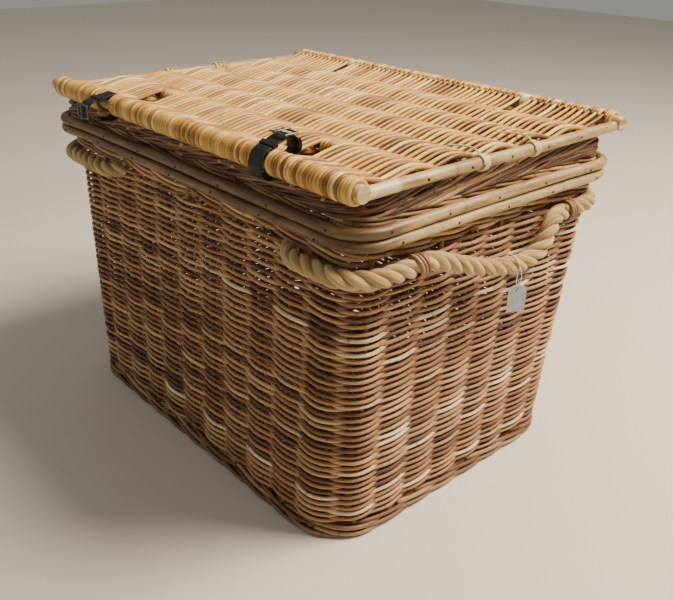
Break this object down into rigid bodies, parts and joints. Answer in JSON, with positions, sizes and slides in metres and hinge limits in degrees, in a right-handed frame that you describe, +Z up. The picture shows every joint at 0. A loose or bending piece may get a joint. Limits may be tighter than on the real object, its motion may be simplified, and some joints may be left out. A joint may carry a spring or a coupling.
{
  "type": "laundry hamper with lid",
  "caption": "Rectangular woven rattan hamper with a hinged woven lid, leather buckle straps and rope handles at the ends.",
  "frame": {"origin": "middle of the underside of the base, on the floor", "axes": "+X towards the right-hand end along the length, -Y towards the front with the straps, +Z up"},
  "size_m": [0.7763, 0.5523, 0.5327],
  "materials": {
    "wall_weave": "satin, peeled rattan rods",
    "lid_weave": "satin, pale rattan rods",
    "heavy_rods": "satin, reddish unpeeled rattan rods",
    "bare_pole": "semi-gloss, bare rattan pole with nodes",
    "stake": "matt rattan stake",
    "cane": "gloss, split cane",
    "rope": "matt, laid natural fibre",
    "leather": "satin, black dyed",
    "buckle": "dull nickel",
    "nail": "dark, slightly rusted",
    "card": "matt card",
    "string": "matt cotton"
  },
  "bodies": {
    "basket": {"base_panel": "wall_weave", "base_sticks": "stake", "side_stakes": "stake", "woven_sides": "wall_weave", "foot_wale": "heavy_rods", "upper_wale": "heavy_rods", "top_border": "heavy_rods", "upper_hoop": "bare_pole", "lower_hoop": "bare_pole", "hoop_nails": "nail", "hinge_loops": "cane", "right_rope_front_lead": "rope", "right_rope_back_lead": "rope", "left_rope_front_lead": "rope", "left_rope_back_lead": "rope"},
    "lid": {"lid_front_pole": "bare_pole", "lid_back_pole": "bare_pole", "lid_left_rail": "bare_pole", "lid_right_rail": "bare_pole", "lid_sticks": "stake", "lid_weave": "lid_weave", "lid_rail_nails": "nail", "lid_rail_bindings": "cane", "right_strap": "leather", "left_strap": "leather", "right_strap_keeper": "leather", "left_strap_keeper": "leather", "right_buckle_frame": "buckle", "left_buckle_frame": "buckle"},
    "right_grip": {"right_rope_grip": "rope", "tag_loop": "string"},
    "left_grip": {"left_rope_grip": "rope"},
    "right_prong": {"right_buckle_prong": "buckle"},
    "left_prong": {"left_buckle_prong": "buckle"},
    "tag": {"tag_string": "string", "price_tag": "card"}
  },
  "joints": [
    {"name": "lid_hinge", "type": "hinge", "parent": "basket", "child": "lid", "pos_m": [0, 0.249, 0.5], "axis": [-1, 0, 0], "range_deg": [0, 110]},
    {"name": "right_handle_swing", "type": "hinge", "parent": "basket", "child": "right_grip", "pos_m": [0.35671, 0, 0.396], "axis": [0, -1, 0], "range_deg": [0, 110]},
    {"name": "left_handle_swing", "type": "hinge", "parent": "basket", "child": "left_grip", "pos_m": [-0.35671, 0, 0.396], "axis": [0, 1, 0], "range_deg": [0, 110]},
    {"name": "right_buckle_prong_lift", "type": "hinge", "parent": "lid", "child": "right_prong", "pos_m": [0.2045, -0.22585, 0.52858], "axis": [1, 0, 0], "range_deg": [0, 95]},
    {"name": "left_buckle_prong_lift", "type": "hinge", "parent": "lid", "child": "left_prong", "pos_m": [-0.1645, -0.2849, 0.5038], "axis": [-1, 0, 0], "range_deg": [0, 95]},
    {"name": "tag_swing", "type": "hinge", "parent": "right_grip", "child": "tag", "pos_m": [0.38621, 0.012, 0.357], "axis": [0, -1, 0], "range_deg": [-8, 75]}
  ]
}
